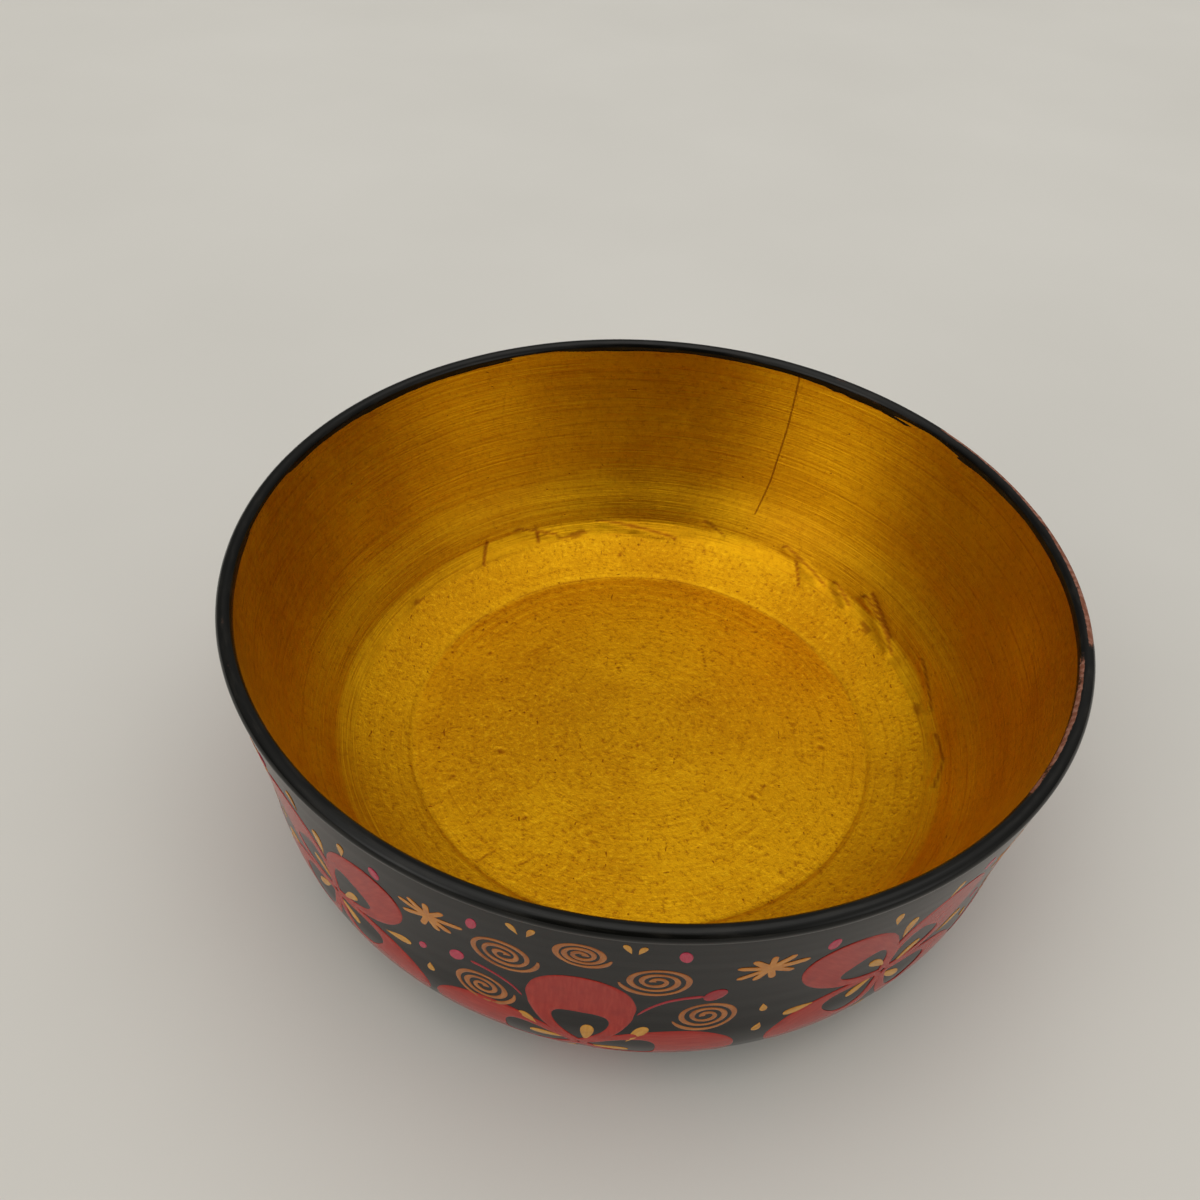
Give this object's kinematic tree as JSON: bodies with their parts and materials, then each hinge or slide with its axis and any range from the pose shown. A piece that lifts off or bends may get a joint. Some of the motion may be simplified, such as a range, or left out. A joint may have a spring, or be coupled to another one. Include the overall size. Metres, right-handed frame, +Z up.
{
  "type": "painted wooden bowl",
  "caption": "Round turned-wood bowl on a low foot ring, gold inside and black outside with a painted band of red flowers, gold spirals and stars.",
  "frame": {"origin": "centre of the circle that the foot ring stands on, at table level", "axes": "+Z up along the turning axis, out of the bowl's mouth; -Y is the side with the cross-shaped flower that faces the viewer"},
  "size_m": [0.14, 0.14, 0.054],
  "materials": {
    "turned_wood": "turned lime wood, smoothed, bare only at the foot's contact ring and in chips",
    "clay_ground": "matte reddish-brown clay and oil ground",
    "gold_film": "metallic powder under baked amber lacquer, fine concentric turning lines",
    "black_film": "gloss black paint under clear lacquer",
    "underside_film": "satin black paint, scuffed",
    "rim_film": "gloss black paint, worn and chipped on the lip",
    "red_paint": "vermilion-red brush paint under clear lacquer",
    "gold_paint": "copper-gold brush line under clear lacquer",
    "star_paint": "orange-gold brush strokes under clear lacquer",
    "stroke_paint": "yellow-gold drops under clear lacquer",
    "crimson_paint": "crimson-pink dots under clear lacquer",
    "stem_paint": "thin dark-red brush line under clear lacquer"
  },
  "bodies": {
    "root": {"wood_body": "turned_wood", "clay_ground": "clay_ground", "gold_interior": "gold_film", "black_exterior": "black_film", "underside_coat": "underside_film", "rim_band": "rim_film", "red_petals": "red_paint", "gold_spirals": "gold_paint", "gold_stars": "star_paint", "gold_strokes": "stroke_paint", "crimson_dots": "crimson_paint", "crimson_stems": "stem_paint"}
  },
  "joints": []
}
